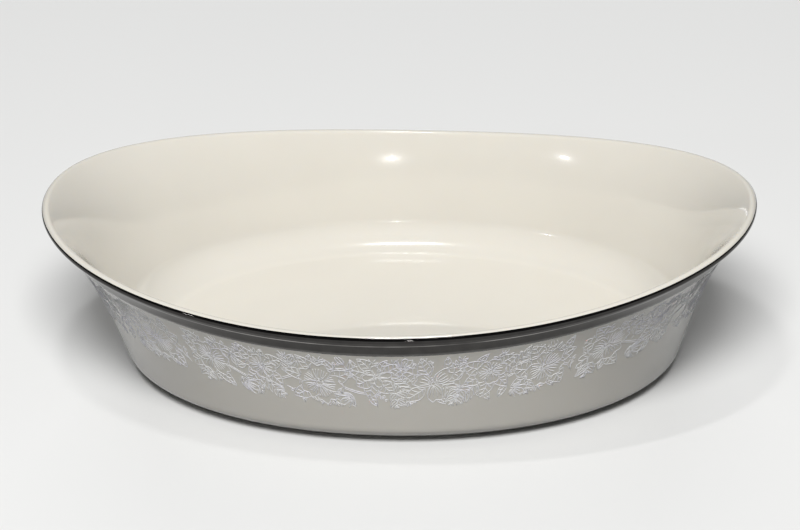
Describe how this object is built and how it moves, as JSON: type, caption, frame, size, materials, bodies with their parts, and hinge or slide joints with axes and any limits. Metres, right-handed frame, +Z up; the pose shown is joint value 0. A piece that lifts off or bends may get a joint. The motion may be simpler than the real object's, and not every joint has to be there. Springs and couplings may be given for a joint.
{
  "type": "oval serving bowl",
  "caption": "Oval open serving bowl in glazed bone china, with a boat-shaped rim, a platinum lip band and raised white floral enamel on the outside.",
  "frame": {"origin": "centre of the foot ring, on the surface that the bowl stands on", "axes": "+Z up, +X along the length of the oval, +Y across its width; the rim is highest at the two X ends"},
  "size_m": [0.2416, 0.1562, 0.0574],
  "materials": {
    "bone_china": "warm ivory bone china under a clear gloss glaze, bare and matt on the foot ring",
    "platinum": "burnished platinum, brushed on by hand, mirror bright",
    "white_enamel": "raised white on-glaze enamel lines, satin, faintly lavender"
  },
  "bodies": {
    "root": {"china_bowl": "bone_china", "platinum_band": "platinum", "enamel_garland_front": "white_enamel", "enamel_garland_right": "white_enamel", "enamel_garland_back": "white_enamel", "enamel_garland_left": "white_enamel"}
  },
  "joints": []
}
